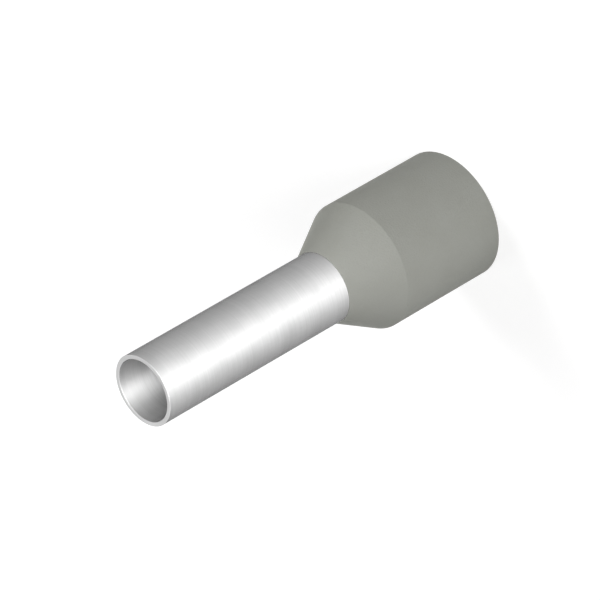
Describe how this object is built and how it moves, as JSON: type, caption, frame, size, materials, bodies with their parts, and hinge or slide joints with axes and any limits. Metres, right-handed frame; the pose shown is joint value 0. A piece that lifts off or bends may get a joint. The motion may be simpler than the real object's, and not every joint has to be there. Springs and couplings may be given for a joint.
{
  "type": "wire ferrule",
  "caption": "Insulated wire ferrule: thin tin-plated copper sleeve for crimping on stranded wire, with a tapered plastic collar that takes the wire's insulation.",
  "frame": {"origin": "centre of the collar's open mouth, on the plane that the mouth stands on", "axes": "+Z along the ferrule's axis, from the mouth to the sleeve's open tip; the form is round, so +X and +Y are any two directions square to it"},
  "size_m": [0.0044, 0.0044, 0.014],
  "materials": {
    "tinned_copper": "drawn copper tube, rolled smooth, with a satin tin plating",
    "grey_plastic": "moulded polypropylene, warm grey, matt"
  },
  "bodies": {
    "root": {"sleeve": "tinned_copper", "collar": "grey_plastic"}
  },
  "joints": []
}
